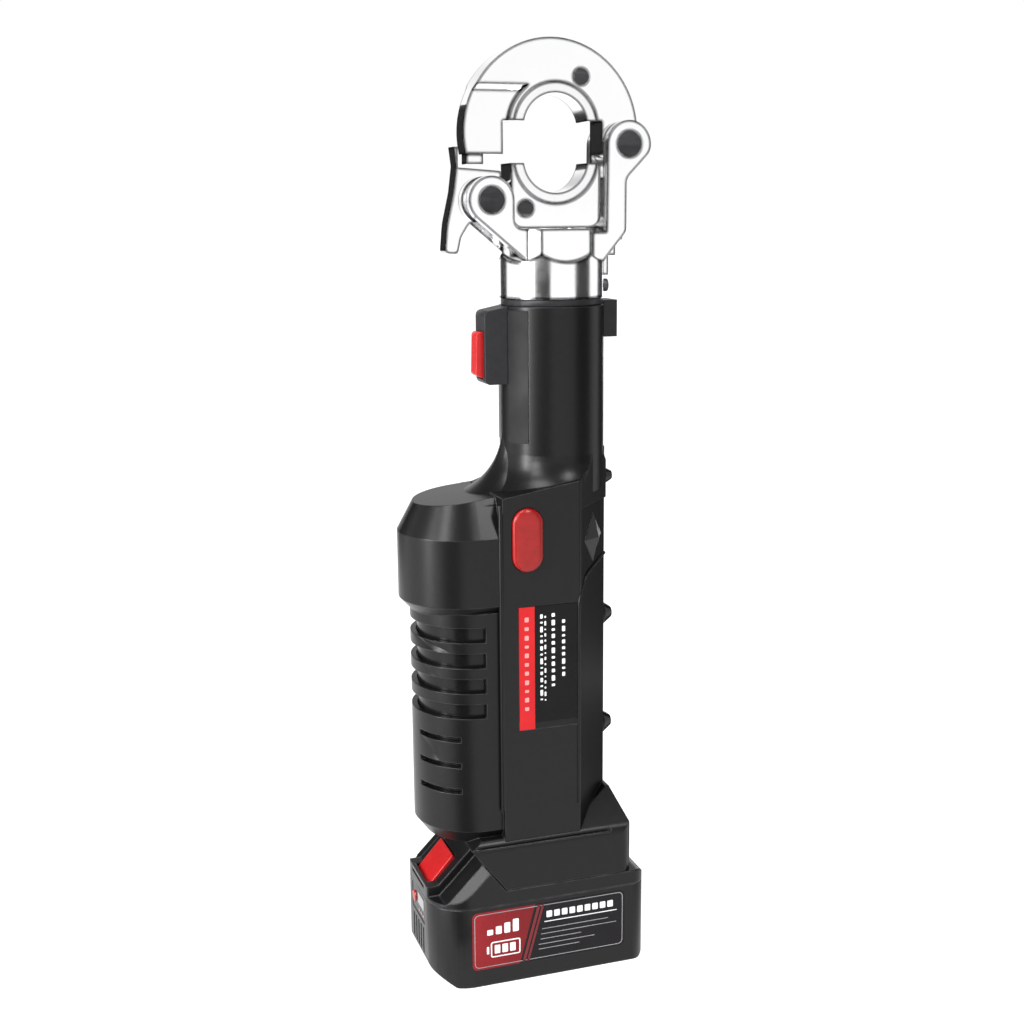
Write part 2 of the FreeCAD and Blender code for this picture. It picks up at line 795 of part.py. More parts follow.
def build_controls():
    block = front_prism(
        [
            (size.switch_face, size.switch_low, 3),
            (-20, size.switch_low),
            (-20, 366),
            (-27, 366),
            (size.switch_face, 363.5, 3),
        ],
        "-switch_half", "switch_half",
    )
    cavity = box(
        ("switch_face - 1", "-grip_radius - 0.5"), ("-trigger_half - 0.3", "trigger_half + 0.3"),
        ("trigger_low - 0.3", "trigger_top + 0.3"),
    )
    node("trigger_housing", cut(block, cavity, rod("z", (0, 0), "grip_radius + 0.02", 300, 380)))
    face = front_prism(
        [
            (size.trigger_face, size.trigger_low + 2, 2),
            (size.switch_face + 0.5, size.trigger_low, 1),
            (size.switch_face + 5, size.trigger_low),
            (size.switch_face + 5, size.trigger_top),
            (size.trigger_face + 0.6, size.trigger_top, 2),
        ],
        "-trigger_half", "trigger_half",
    )
    node("trigger", face)
    node("trigger_switch", box((-30.6, -28.6), (-3.6, 3.6), (333, 349)))
    front = "-panel_half_depth - 2.4"
    cap = oval(size.button_half_width, size.button_half_height, size.button_x, size.button_z,
               front, "-panel_half_depth + 1.5")
    stem = box((-29.5, -23.5), ("-panel_half_depth + 1.5", "-panel_half_depth + 4"), (240, 255))
    node("release_button", fuse(cap, stem))


# ---- Head ----

def ear_plate(side):
    """One of the yoke's two plates, with the latch ear on the left and the hinge arm on the right."""
    left = [
        (size.latch_x - size.ear_radius, size.latch_z + size.ear_radius, size.ear_radius),
        (size.latch_x + size.ear_radius, size.latch_z + size.ear_radius, size.ear_radius),
        (size.latch_x + size.ear_radius, size.neck_top, 5),
        (-18, size.neck_top),
        (-18, 388.5),
        (size.latch_x - size.ear_radius, 414.3, size.ear_radius),
    ]
    right = [
        (size.hinge_x - size.ear_radius, size.hinge_z + size.ear_radius, size.ear_radius),
        (size.hinge_x + size.ear_radius, size.hinge_z + size.ear_radius, size.ear_radius),
        (size.hinge_x + size.ear_radius, 444.3, 8),
        (size.arm_outer, 430.5, 6),
        (size.arm_outer, 403.5, 5),
        (24, 388.5),
        (18, 388.5),
        (18, size.neck_top - 2),
        (size.hinge_x - size.ear_radius - 0.5, size.neck_top - 2, 0),
    ]
    near, far = ("-ear_outer", "-ear_inner") if side < 0 else ("ear_inner", "ear_outer")
    return fuse(front_prism(left, near, far), front_prism(right, near, far))


def wrench_flat_cutters():
    """Six round-ended flats milled across the neck."""
    cutters = []
    for index in range(6):
        disc = rod("y", (0, "flat_low + flat_cutter"), "flat_cutter", "-flat_half - 12", "-flat_half")
        cutters.append(turned(disc, Z_AXIS, 60 * index))
    return cutters


def pin_hole(x, z, gap, low, high):
    return rod("y", (x, z), f"pin_radius + {gap}", low, high)


def build_yoke():
    neck = cut(
        rod("z", (0, 0), "collar_radius", "collar_low", "neck_top"),
        *wrench_flat_cutters(),
    )
    web = box(
        ("arm_inner", "arm_outer"), ("-ear_inner - 1", "ear_inner + 1"), ("neck_top - 6", "arm_web_top")
    )
    bridge = box((-24, "arm_outer - 4"), ("-ear_inner - 1", "ear_inner + 1"), ("neck_top - 14", "neck_top"))
    boss = box((24, 30.5), (-5, 5), (381, 396))
    body = cut(
        fuse(neck, ear_plate(-1), ear_plate(1), web, bridge, boss),
        rod("z", (0, 0), "rod_radius + running_gap", "collar_low - 1", "neck_top + 1"),
        pin_hole("latch_x", "latch_z", 0, -20, 20),
        pin_hole("hinge_x", "hinge_z", 0, -20, 20),
        rod("x", (0, 375.5), 2.05, 16, 40),
    )
    node("head_yoke", body)
    for label, x, z in (("latch_pin", "latch_x", "latch_z"), ("jaw_hinge_pin", "hinge_x", "hinge_z")):
        shank = pin_hole(x, z, 0, "-ear_outer + 0.8", "ear_outer - 0.8")
        node(label, shank)
    clips = []
    for x, z in (("latch_x", "latch_z"), ("hinge_x", "hinge_z")):
        for low, high in (("-ear_outer - 0.2", "-ear_outer + 0.7"), ("ear_outer - 0.7", "ear_outer + 0.2")):
            clips.append(pin_hole(x, z, -0.1, low, high))
    node("pin_caps", group(clips))
    screw = fuse(
        rod("x", (0, 375.5), 2, 18, "collar_radius + 1"),
        rod("x", (0, 375.5), 3.4, "collar_radius + 1", "collar_radius + 4"),
    )
    node("head_lock_screw", screw)


def build_latch():
    lever = front_prism(
        [
            (-53.8, 446.5),
            (-51.7, 446.5),
            (-51.7, 436.3),
            (-28.6, 434.6, 1.5),
            (-28.6, 426),
            (-26.4, 423),
            (-26.4, 412),
            (-31, 409.4, 4),
            (-45.5, 409, 4),
            (-50.5, 401.5, 8),
            (-52.4, 393.2, 1.5),
            (-59.3, 393.6, 2),
            (-58, 408, 40),
            (-54.3, 424, 30),
            (-52.6, 437, 4),
        ],
        "-latch_half", "latch_half",
    )
    right_side = box((-30, -20), ("-latch_half - 1", "latch_half + 1"), (400, 431))
    hub = rod("y", ("latch_x", "latch_z"), 10.8, "-latch_half - 1", "latch_half + 1")
    outside_hub = cut(right_side, hub)
    bore = pin_hole("latch_x", "latch_z", "running_gap", -9, 9)
    node("latch_lever", cut(lever, outside_hub, bore))
    coils = [ring("y", ("latch_x", "latch_z"), 8.6, 0.7, level) for level in (-7.6, -6.1, 6.1, 7.6)]
    node("latch_spring", group(coils))


def build_jaw():
    disc = rod("y", ("jaw_x", "jaw_z"), "jaw_radius", "-jaw_half", "jaw_half")
    above = box((-60, 60), ("-jaw_half", "jaw_half"), ("jaw_low", 510))
    lug = rod("y", ("hinge_x", "hinge_z"), "ear_radius - 0.3", "-jaw_half", "jaw_half")
    tongue = box((-47, -38), (-4, 4), (438, "jaw_low + 2"))
    throat = box(("throat_left", "throat_right"), (-20, 20), (430, "upper_joint"))
    pocket = rod("y", (0, "upper_die_z"), "die_outer + die_pocket_gap", -20, 20)
    trims = []
    for near, far in ((-12, -size.lobe_half), (size.lobe_half, 12)):
        lobe = side_prism(
            [
                (near, 430),
                (far, 430),
                (far, 474.3),
                (far if abs(far) > abs(near) else far - 2.6, 477.5),
                (near, 477.5),
            ] if near < 0 else [
                (near, 430),
                (far, 430),
                (far, 477.5),
                (near + 2.6, 477.5),
                (near, 474.3),
            ],
            -60, -12,
        )
        trims.append(cut(lobe, rod("y", (0, "upper_die_z"), "die_outer + 3", -20, 20)))
    catch_hole = rod("y", (13.5, 481.5), "catch_radius + 0.1", -10, "-jaw_half + 7")
    bore = pin_hole("hinge_x", "hinge_z", "running_gap", -9, 9)
    body = fuse(common(disc, above), lug, tongue)
    node("upper_jaw", cut(body, throat, pocket, catch_hole, bore, *trims))
    upper = cut(
        rod("y", (0, "upper_die_z"), "die_outer", "-die_half", "die_half"),
        rod("y", (0, "upper_die_z"), "die_inner", -20, 20),
        box((-30, 30), (-20, 20), (420, "upper_joint")),
    )
    node("upper_die", upper)
    node("upper_die_catch", rod("y", (13.5, 481.5), "catch_radius", "-jaw_half - 0.6", "-jaw_half + 4.5"))


def build_holder():
    block = front_prism(
        [
            (-size.holder_half, size.holder_low, 6),
            (size.holder_half, size.holder_low, 6),
            (size.holder_half, size.lower_joint),
            (-size.holder_half, size.lower_joint),
        ],
        "-jaw_half", "jaw_half",
    )
    body = cut(
        block,
        rod("y", (0, "lower_die_z"), "die_outer + die_pocket_gap", -20, 20),
        rod("y", (-16.8, 415.8), "catch_radius + 0.1", -10, "-jaw_half + 7"),
    )
    node("die_holder", body)
    lower = cut(
        rod("y", (0, "lower_die_z"), "die_outer", "-die_half", "die_half"),
        rod("y", (0, "lower_die_z"), "die_inner", -20, 20),
        box((-30, 30), (-20, 20), ("lower_joint", 470)),
    )
    node("lower_die", lower)
    node("lower_die_catch", rod("y", (-16.8, 415.8), "catch_radius", "-jaw_half - 0.6", "-jaw_half + 4.5"))


# ---- Battery pack ----

def pack_plan(inset=0):
    depth = size.pack_half_depth - inset
    return mirrored_depth([
        (size.pack_left + inset, -depth, size.pack_nose_round),
        (size.pack_right - inset, -depth, size.pack_tail_round),
    ])


def pack_screw_places():
    """Where the screws that close the pack stand, in X and Y."""
    return [(x, y) for x in (-68.5, 34.5) for y in (-20, 20)]


def build_pack():
    outside = plan_prism(pack_plan(), 0, "case_seam")
    belly = front_prism(
        [
            (size.pack_left, 8, 4),
            (size.pack_left + 12, 0, 4),
            (size.pack_right, 0, 6),
            (size.pack_right, size.case_seam),
            (size.pack_left, size.case_seam),
        ],
        "-pack_half_depth", "pack_half_depth",
    )
    cavity = plan_prism(pack_plan(size.wall), "wall", "case_seam + 1")
    gauge = box(("pack_left - 1", "pack_left + 1.2"), (-13, 13), (29, 44))
    vents = [
        box(("pack_left - 1", "pack_left + 4"), (y - 1.2, y + 1.2), (11, 26)) for y in (-10, -5, 0, 5, 10)
    ]
    key_hole = rod("x", (8, 36.5), 3.1, "pack_left - 1", "pack_left + 4")
    posts = []
    holes = []
    for x, y in pack_screw_places():
        posts.append(rod("z", (x, y), 4, 1, "case_seam"))
        holes.append(rod("z", (x, y), 1.55, 0.5, "case_seam + 1"))
        holes.append(rod("z", (x, y), 3, -1, 4))
    shell = cut(common(outside, belly), cavity, gauge, key_hole, *vents)
    node("pack_lower_case", cut(fuse(shell, *posts), *holes))
    window = box(("pack_left + 0.2", "pack_left + 1.15"), (-12.9, 12.9), (29.1, 43.9))
    key_gap = rod("x", (8, 36.5), 3.1, "pack_left - 1", "pack_left + 4")
    node("gauge_panel", cut(window, key_gap))
    node("gauge_key", rod("x", (8, 36.5), 2.9, "pack_left - 0.6", "pack_left + 3.4"))
    build_upper_case()
    cells = []
    for column in range(5):
        for level in (13.5, 33):
            x = f"pack_left + {26 + 18.4 * column}"
            cells.append(rod("y", (x, level), "cell_radius", "-cell_length / 2", "cell_length / 2"))
    node("cells", group(cells))
    screws = []
    for x, y in pack_screw_places():
        shank = rod("z", (x, y), 1.5, 4, 48)
        screws.append(fuse(shank, rod("z", (x, y), 2.8, 1, 4)))
    node("pack_screws", group(screws))
    build_label()


def nose_peak():
    """Where the nose's 45 degree slope meets its slanted back, in X and Z."""
    slant = (size.foot_left_top - size.foot_left_low) / (size.foot_top - size.pack_top)
    start = size.foot_left_low - size.slide_gap
    peak_x = (start + slant * (size.nose_foot - size.pack_top - size.pack_left)) / (1 - slant)
    return peak_x, size.nose_foot + peak_x - size.pack_left


def nose_form():
    """The pack's nose: as wide as the pack, with a sloping end and a slanted back."""
    back = size.foot_left_low - size.slide_gap
    return common(
        plan_prism(pack_plan(), "case_seam", "nose_top"),
        front_prism(
            [
                (size.pack_left, size.case_seam),
                (back, size.case_seam),
                (back, size.pack_top),
                nose_peak(),
                (size.pack_left, size.nose_foot),
            ],
            "-pack_half_depth", "pack_half_depth",
        ),
    )


def shoulder_trim(side):
    """Lowers the nose's slope beside the raised middle that carries the button."""
    near, far = 19, size.pack_half_depth + 1
    low, high = sorted((side * near, side * far))
    step = 7
    normal = FreeCAD.Vector(-0.5, side * math.sqrt(0.5), 0.5)
    corner = FreeCAD.Vector(size.pack_left + 25, side * size.pack_half_depth, size.case_seam + 20)
    rounding = beyond_plane(corner - normal * 3.4, normal)
    lowered = front_prism(
        [
            (size.pack_left - 5, size.case_seam + 2),
            (size.pack_left + step, size.case_seam + 2),
            (size.pack_left + step + 30, size.case_seam + 32),
            (size.pack_left - 5, size.case_seam + 32),
        ],
        low, high,
    )
    nose_side = box(("pack_left - 5", "foot_left_low - slide_gap"), (low, high), ("case_seam", 80))
    return fuse(lowered, common(rounding, nose_side))


def build_upper_case():
    deck = common(
        plan_prism(pack_plan(), "case_seam", "pack_top"),
        front_prism(
            [
                (size.pack_left, size.case_seam),
                (size.pack_right, size.case_seam),
                (size.pack_right, size.pack_top, 6),
                (size.pack_left, size.pack_top),
            ],
            "-pack_half_depth", "pack_half_depth",
        ),
    )
    neck = box((-39, "foot_right - 4"), ("-neck_half", "neck_half"), ("pack_top", "lip_low + 1"))
    head = box((-39, "foot_right - 4"), ("-lip_half", "lip_half"), ("lip_low", "lip_top"))
    hollow_depth = size.pack_half_depth - size.wall
    hollow_plan = mirrored_depth([
        (size.pack_left + 14, -hollow_depth, 12),
        (size.pack_right - size.wall, -hollow_depth, size.pack_tail_round),
    ])
    hollow = plan_prism(hollow_plan, "case_seam - 1", "pack_top - wall")
    slots = [
        box((3, "foot_right + 10"), (y - 1.2, y + 1.2), ("pack_top - 1", "lip_top + 1"))
        for y in (-12, -4, 4, 12)
    ]
    bosses = []
    holes = []
    for place_across in pack_screw_places():
        bosses.append(rod("z", place_across, 4, "case_seam", "pack_top - 2"))
        holes.append(rod("z", place_across, 1.55, "case_seam - 1", 48.5))
    body = cut(
        fuse(cut(fuse(deck, nose_form(), neck, head), hollow), *bosses),
        button_well(0.3),
        shoulder_trim(-1),
        shoulder_trim(1),
        *slots,
        *holes,
    )
    node("pack_upper_case", body)
    key = cut(button_well(0), button_cut())
    node("pack_release_button", key)


def slope_point(along, out):
    """A point by its distance up the nose's slope and its distance out of the slope."""
    root = math.sqrt(0.5)
    return (size.pack_left + (along - out) * root, size.nose_foot + (along + out) * root)


def button_well(gap):
    """The space of the release button in the nose, or with no gap the button's own block."""
    return front_prism(
        [
            slope_point(2.4 - gap, -7 - (3.5 if gap else 0)),
            slope_point(26 + gap, -7 - (3.5 if gap else 0)),
            slope_point(26 + gap, 3),
            slope_point(2.4 - gap, 3),
        ],
        f"-12 - {gap}", f"12 + {gap}",
    )


def button_cut():
    """Trims the release button's top, which rises from its lower edge to its upper one."""
    return front_prism(
        [slope_point(0, 0.6), slope_point(28, 2.2), slope_point(28, 6), slope_point(0, 6)], -14, 14
    )


def build_label():
    """The pack's front label: a red field, two stripes and the rest of the plate."""
    front = ("-pack_half_depth - 0.12", "-pack_half_depth - 0.02")
    left, right, low, high = -60, 29, 10, 43.5
    red = [(left, low, 3), (-33, low), (-24, high), (left, high, 3)]
    node("pack_label_red", front_prism(red, *front))
    plate = [(-32, low), (right, low, 3), (right, high, 3), (-23, high)]
    node("pack_label_plate", front_prism(plate, *front))


def check_and_export():
    doc.recompute()
    for item in doc.Objects:
        bad = {"Invalid", "Error"} & set(item.State)
        if bad:
            raise RuntimeError(f"{item.Name} ({item.Label}) is {bad}: {item.getStatusString()}")
    os.makedirs("parts", exist_ok=True)
    for item in NODES:
        shape = item.Shape
        if shape.isNull() or not shape.isValid() or not shape.Solids:
            raise RuntimeError(f"{item.Label} has no valid solid")
        shape.exportStep(f"parts/{item.Label}.step")
        print(item.Label, len(shape.Solids), "solids", round(shape.Volume / 1000, 2), "cm3")


build_housing()
build_covers()
build_drive()
build_hydraulics()
build_electronics()
build_controls()
build_yoke()
build_latch()
build_jaw()
build_holder()
build_pack()
check_and_export()
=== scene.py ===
import math

import bmesh
import bpy
from mathutils import Matrix, Vector


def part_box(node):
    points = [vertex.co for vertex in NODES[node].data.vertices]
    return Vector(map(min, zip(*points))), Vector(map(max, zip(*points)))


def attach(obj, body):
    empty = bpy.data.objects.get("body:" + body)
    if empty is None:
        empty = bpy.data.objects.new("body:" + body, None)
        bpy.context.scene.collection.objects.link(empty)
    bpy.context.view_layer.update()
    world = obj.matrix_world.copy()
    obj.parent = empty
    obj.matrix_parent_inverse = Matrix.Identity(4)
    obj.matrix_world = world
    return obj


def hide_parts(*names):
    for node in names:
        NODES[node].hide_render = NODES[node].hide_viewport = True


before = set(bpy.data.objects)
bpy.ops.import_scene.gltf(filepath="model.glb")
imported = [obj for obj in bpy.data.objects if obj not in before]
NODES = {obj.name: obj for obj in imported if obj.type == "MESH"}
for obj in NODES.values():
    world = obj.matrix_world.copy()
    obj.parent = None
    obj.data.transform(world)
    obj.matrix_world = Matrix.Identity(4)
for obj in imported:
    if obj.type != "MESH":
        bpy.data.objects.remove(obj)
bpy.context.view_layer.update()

# Looks of a cordless crimping tool: black satin plastic, a mirror-bright steel head,
# red controls and printed plates. The CAD nodes keep their shapes. +Z is up the tool's
# axis, -Y is the front with the label, -X the side with the trigger and the motor.

MM = 0.001

# ---- Materials ----


class Shader:
    """Builds a node material step by step round one Principled shader."""

    def __init__(self, name):
        self.material = bpy.data.materials.new(name)
        self.material.use_nodes = True
        self.tree = self.material.node_tree
        self.surface = self.tree.nodes["Principled BSDF"]
        self.place = self.node("ShaderNodeTexCoord").outputs["Object"]

    def node(self, kind, **settings):
        made = self.tree.nodes.new(kind)
        for key, value in settings.items():
            setattr(made, key, value)
        return made

    def join(self, output, socket):
        self.tree.links.new(output, socket)

    def stretch(self, scale):
        mapping = self.node("ShaderNodeMapping")
        mapping.inputs["Scale"].default_value = scale
        self.join(self.place, mapping.inputs["Vector"])
        return mapping.outputs["Vector"]

    def noise(self, scale, detail=4.0, roughness=0.5, place=None):
        made = self.node("ShaderNodeTexNoise")
        made.inputs["Scale"].default_value = scale
        made.inputs["Detail"].default_value = detail
        made.inputs["Roughness"].default_value = roughness
        self.join(place or self.place, made.inputs["Vector"])
        return made.outputs["Fac"]

    def ramp(self, value, stops):
        made = self.node("ShaderNodeValToRGB")
        band = made.color_ramp
        while len(band.elements) < len(stops):
            band.elements.new(0.5)
        for element, (position, colour) in zip(band.elements, stops):
            element.position = position
            element.color = (*colour, 1)
        self.join(value, made.inputs["Fac"])
        return made.outputs["Color"]

    def spread(self, value, low, high, source=(0.3, 0.7)):
        made = self.node("ShaderNodeMapRange")
        made.inputs["From Min"].default_value = source[0]
        made.inputs["From Max"].default_value = source[1]
        made.inputs["To Min"].default_value = low
        made.inputs["To Max"].default_value = high
        self.join(value, made.inputs["Value"])
        return made.outputs["Result"]

    def mix(self, amount, first, colour):
        """Mixes a colour that comes from a node with a plain one."""
        made = self.node("ShaderNodeMix", data_type="RGBA")
        self.join(amount, made.inputs["Factor"])
        self.join(first, made.inputs["A"])
        made.inputs["B"].default_value = (*colour, 1)
        return made.outputs["Result"]

    def edges(self, low, high):
        """How much the raised edges take the edge colour, from the shape of the mesh."""
        geometry = self.node("ShaderNodeNewGeometry")
        return self.spread(geometry.outputs["Pointiness"], 0, 1, (low, high))

    def soft_edges(self, radius):
        """A normal that rounds the sharp edges by a small radius."""
        made = self.node("ShaderNodeBevel", samples=6)
        made.inputs["Radius"].default_value = radius
        return made.outputs["Normal"]

    def near_edge(self, soft_normal, low, high):
        """1 beside a sharp edge and 0 away from it, from how far the softened normal turns."""
        flat = self.node("ShaderNodeNewGeometry").outputs["Normal"]
        alike = self.node("ShaderNodeVectorMath", operation="DOT_PRODUCT")
        self.join(soft_normal, alike.inputs[0])
        self.join(flat, alike.inputs[1])
        return self.spread(alike.outputs["Value"], 1, 0, (low, high))

    def bump(self, *layers, start=None):
        """Layers of (height, strength, distance) from the broad one to the fine one."""
        normal = start
        for height, strength, distance in layers:
            made = self.node("ShaderNodeBump")
            made.inputs["Strength"].default_value = strength
            made.inputs["Distance"].default_value = distance
            self.join(height, made.inputs["Height"])
            if normal:
                self.join(normal, made.inputs["Normal"])
            normal = made.outputs["Normal"]
        self.join(normal, self.surface.inputs["Normal"])

    def constants(self, **values):
        for key, value in values.items():
            self.surface.inputs[key.replace("_", " ")].default_value = value


def plastic(name, dark, light, rough, grain=0.12, spec=0.24, edge_colour=(0.045, 0.045, 0.048), edge=0.7):
    """Moulded plastic with a fine spark-eroded grain, faint mottling, and sharp edges lightened in patches:
    partly wear from rubbing, partly a painted edge highlight.
    """
    look = Shader(name)
    body = look.ramp(look.noise(320, 5, 0.6), [(0.3, dark), (0.7, light)])
    normal = look.soft_edges(edge * MM)
    # Partly painted highlight: lightening the sharp edges towards the edge colour stands for bright edge
    # highlights as well as wear from rubbing.
    edge_wear_and_sheen = look.node("ShaderNodeMath", operation="MULTIPLY")
    look.join(look.near_edge(normal, 0.93, 0.995), edge_wear_and_sheen.inputs[0])
    look.join(look.spread(look.noise(140, 4), 0.1, 0.9), edge_wear_and_sheen.inputs[1])
    look.join(look.mix(edge_wear_and_sheen.outputs[0], body, edge_colour), look.surface.inputs["Base Color"])
    look.join(look.spread(look.noise(12, 3), rough - 0.01, rough + 0.015), look.surface.inputs["Roughness"])
    look.bump((look.noise(2600, 2, 0.6), grain, 0.00004), start=normal)
    look.constants(Specular_IOR_Level=spec)
    return look.material


def rubber(name, dark, light, rough=0.62):
    """Soft moulded rubber: matt, with a pebbled grain and a tone that varies at random."""
    look = Shader(name)
    cells = look.node("ShaderNodeTexVoronoi")
    cells.inputs["Scale"].default_value = 1400
    look.join(look.place, cells.inputs["Vector"])
    tone = look.ramp(look.noise(40, 4), [(0.3, dark), (0.7, light)])
    look.join(tone, look.surface.inputs["Base Color"])
    look.join(look.spread(look.noise(70, 3), rough - 0.08, rough + 0.08), look.surface.inputs["Roughness"])
    look.bump((cells.outputs["Distance"], 0.35, 0.00012))
    look.constants(Specular_IOR_Level=0.25)
    return look.material


def metal(name, dark, light, rough, lines=(1, 1, 1), line_scale=260, depth=0.05, edge_colour=None, outline=None):
    """Worked metal: fine turning or grinding lines, smudges, and edges that are brighter or,
    with an outline, rounded by that radius and darkened by a painted dark edge reflection."""
    look = Shader(name)
    tone = look.ramp(look.noise(34, 5, 0.6), [(0.3, dark), (0.7, light)])
    if edge_colour:
        tone = look.mix(look.edges(0.52, 0.6), tone, edge_colour)
    if outline:
        # Painted reflection: a near-black line along the sharp edges stands in for the dark surroundings
        # that the rounded edges mirror.
        painted_edge_reflection = look.near_edge(look.soft_edges(outline * MM), 0.98, 0.9995)
        tone = look.mix(painted_edge_reflection, tone, (0.008, 0.008, 0.009))
    look.join(tone, look.surface.inputs["Base Color"])
    streaks = look.noise(line_scale, 3, 0.6, look.stretch(lines))
    smudge = look.noise(45, 4, 0.7)
    both = look.node("ShaderNodeMath", operation="ADD")
    look.join(look.spread(streaks, 0, 0.4 * rough), both.inputs[0])
    look.join(look.spread(smudge, 0.7 * rough, 1.3 * rough), both.inputs[1])
    look.join(both.outputs[0], look.surface.inputs["Roughness"])
    look.bump((streaks, depth, 0.00002))
    look.constants(Metallic=1.0)
    return look.material


def printed(name, dark, light, rough=0.35, axis_low=None, axis_high=None, spec=0.35):
    """Ink on a plastic plate, with an orange-peel gloss; it may darken along X."""
    look = Shader(name)
    tone = look.ramp(look.noise(55, 5, 0.6), [(0.3, dark), (0.7, light)])
    if axis_low is not None:
        split = look.node("ShaderNodeSeparateXYZ")
        look.join(look.place, split.inputs["Vector"])
        fade = look.spread(split.outputs["X"], 0, 0.55, (axis_low, axis_high))
        tone = look.mix(fade, tone, tuple(0.35 * part for part in dark))
    look.join(tone, look.surface.inputs["Base Color"])
    look.join(look.spread(look.noise(80, 3), rough - 0.08, rough + 0.1), look.surface.inputs["Roughness"])
    look.bump((look.noise(700, 2), 0.12, 0.00005))
    look.constants(Specular_IOR_Level=spec)
    return look.material


def glow(name, dark, light, strength):
    """A small lamp's lens: tinted plastic with a speckled inside that gives a little light."""
    look = Shader(name)
    tone = look.ramp(look.noise(400, 3), [(0.3, dark), (0.7, light)])
    look.join(tone, look.surface.inputs["Base Color"])
    look.join(tone, look.surface.inputs["Emission Color"])
    look.join(look.spread(look.noise(900, 2), 0.12, 0.25), look.surface.inputs["Roughness"])
    look.constants(Emission_Strength=strength, Coat_Weight=0.6, Coat_Roughness=0.05)
    return look.material


# The plastics lighten their sharp edges towards an edge colour, given last for the reds: partly wear from
# rubbing, partly a painted edge highlight.
BLACK = plastic("satin_black_plastic", (0.004, 0.004, 0.0042), (0.0052, 0.0052, 0.0055), 0.3)
PACK_BLACK = plastic("pack_black_plastic", (0.0048, 0.0048, 0.005), (0.0062, 0.0062, 0.0066), 0.32,
                     edge=1.5)
GLOSS_BLACK = plastic("gloss_black_plastic", (0.004, 0.004, 0.0043), (0.0055, 0.0055, 0.006), 0.2, 0.08,
                      0.22)
DARK_GREY = plastic("dark_grey_plastic", (0.012, 0.012, 0.0135), (0.016, 0.016, 0.0175), 0.4, 0.2)
RED = plastic("red_plastic", (0.31, 0.006, 0.007), (0.38, 0.01, 0.011), 0.3, 0.1, 0.3, (0.8, 0.06, 0.05))
DEEP_RED = plastic("deep_red_plastic", (0.2, 0.002, 0.002), (0.26, 0.004, 0.003), 0.28, 0.08, 0.4,
                   (0.6, 0.04, 0.035), edge=1.4)
RUBBER = rubber("grip_rubber", (0.006, 0.006, 0.0065), (0.011, 0.011, 0.012))
SEAL = rubber("seal_rubber", (0.01, 0.01, 0.01), (0.02, 0.02, 0.02), 0.5)
# Painted reflection: the outline radius gives these bright steels near-black lines along their sharp edges.
CHROME = metal("polished_steel", (0.96, 0.965, 0.97), (0.99, 0.99, 0.99), 0.05, (1, 1, 9), 320, 0.01,
               outline=2.4)
TURNED = metal("turned_steel", (0.95, 0.955, 0.96), (0.98, 0.98, 0.985), 0.15, (1, 1, 30), 320, 0.01,
               outline=2.4)
DIE_STEEL = metal("die_steel", (0.88, 0.885, 0.89), (0.95, 0.955, 0.96), 0.1, (14, 1, 14), 310, 0.02,
                  outline=2.0)
PIN_STEEL = metal("blackened_steel", (0.028, 0.028, 0.03), (0.06, 0.06, 0.063), 0.42, (1, 1, 1), 300, 0.1,
                  (0.2, 0.2, 0.21))
STEEL = metal("machined_steel", (0.42, 0.43, 0.44), (0.58, 0.58, 0.59), 0.28, (1, 1, 20), 140, 0.08)
SPRING = metal("spring_steel", (0.3, 0.3, 0.31), (0.46, 0.46, 0.47), 0.3, (1, 1, 8), 200, 0.08)
ALUMINIUM = metal("cast_aluminium", (0.5, 0.5, 0.5), (0.64, 0.64, 0.63), 0.42, (1, 1, 1), 500, 0.25)
BRASS = metal("brass", (0.55, 0.38, 0.13), (0.72, 0.52, 0.2), 0.25, (1, 12, 1), 180, 0.08)
COPPER = metal("copper_winding", (0.5, 0.2, 0.09), (0.68, 0.3, 0.14), 0.34, (1, 1, 60), 60, 0.3)
BOARD = printed("circuit_board", (0.01, 0.07, 0.03), (0.02, 0.11, 0.05), 0.4)
CELL = printed("cell_wrap", (0.03, 0.12, 0.2), (0.05, 0.17, 0.26), 0.3)
BLADDER = rubber("bladder_rubber", (0.02, 0.02, 0.022), (0.035, 0.035, 0.036), 0.55)
STRIPE_RED = printed("stripe_red", (0.42, 0.008, 0.011), (0.5, 0.013, 0.016), 0.42, spec=0.2)
LABEL_RED = printed("pack_label_ink_red", (0.2, 0.007, 0.011), (0.24, 0.01, 0.014), 0.3, -0.06, -0.024, 0.2)
LABEL_BLACK = printed("pack_label_ink_black", (0.006, 0.005, 0.006), (0.0085, 0.0075, 0.0085), 0.25,
                      spec=0.16)
PLATE_BLACK = printed("body_plate_black", (0.0035, 0.0035, 0.0038), (0.005, 0.005, 0.0055), 0.28, spec=0.14)
BAND_RED = printed("pack_label_dark_red", (0.11, 0.004, 0.008), (0.15, 0.008, 0.012), 0.3)
WHITE_INK = printed("white_ink", (0.66, 0.66, 0.67), (0.78, 0.78, 0.79), 0.5)
GREY_INK = printed("grey_ink", (0.2, 0.2, 0.21), (0.28, 0.28, 0.29), 0.5)
PINK_INK = printed("pink_ink", (0.7, 0.2, 0.2), (0.8, 0.28, 0.28), 0.5)
LENS = glow("lamp_lens_clear", (0.7, 0.75, 0.8), (0.9, 0.92, 0.95), 0.15)
LED_RED = glow("gauge_led", (0.25, 0.005, 0.03), (0.4, 0.012, 0.06), 0.1)
SCREEN = glow("gauge_window", (0.06, 0.06, 0.07), (0.11, 0.11, 0.12), 0.05)

